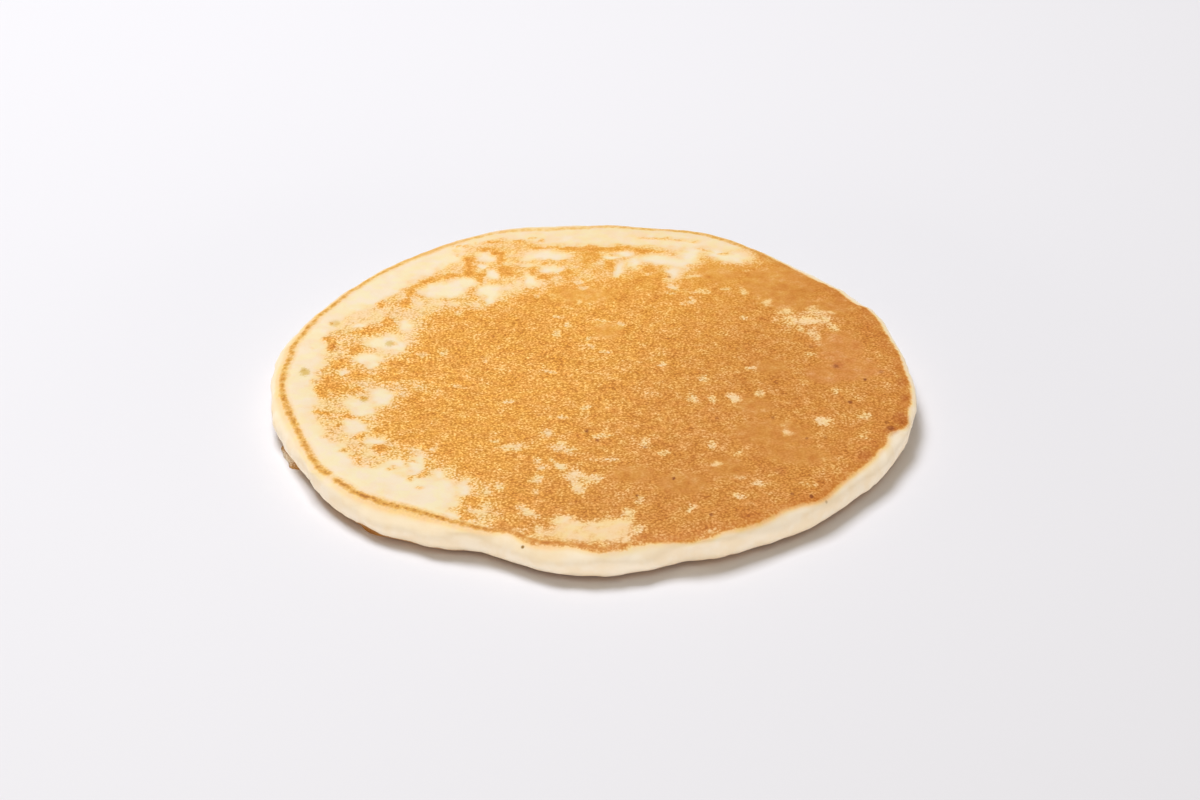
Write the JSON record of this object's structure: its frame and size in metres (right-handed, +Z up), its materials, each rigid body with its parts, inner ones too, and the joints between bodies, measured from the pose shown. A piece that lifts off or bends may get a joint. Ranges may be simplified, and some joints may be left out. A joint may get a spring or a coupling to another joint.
{
  "type": "gluten-free pancake",
  "caption": "Round gluten-free pancake lying flat, with a golden browned upper face, a pale unbrowned crescent at its edge and a soft rounded pale rim.",
  "frame": {"origin": "middle of the flat underside, on the surface that the pancake lies on", "axes": "+Z up through the pancake's thickness, -Y towards the viewer of the picture, +X to the viewer's right"},
  "size_m": [0.149, 0.1572, 0.0085],
  "materials": {
    "browned_crust": "matte, finely grained golden-brown crust with pale cream patches and a pale spongy rim"
  },
  "bodies": {
    "root": {"pancake": "browned_crust"}
  },
  "joints": []
}
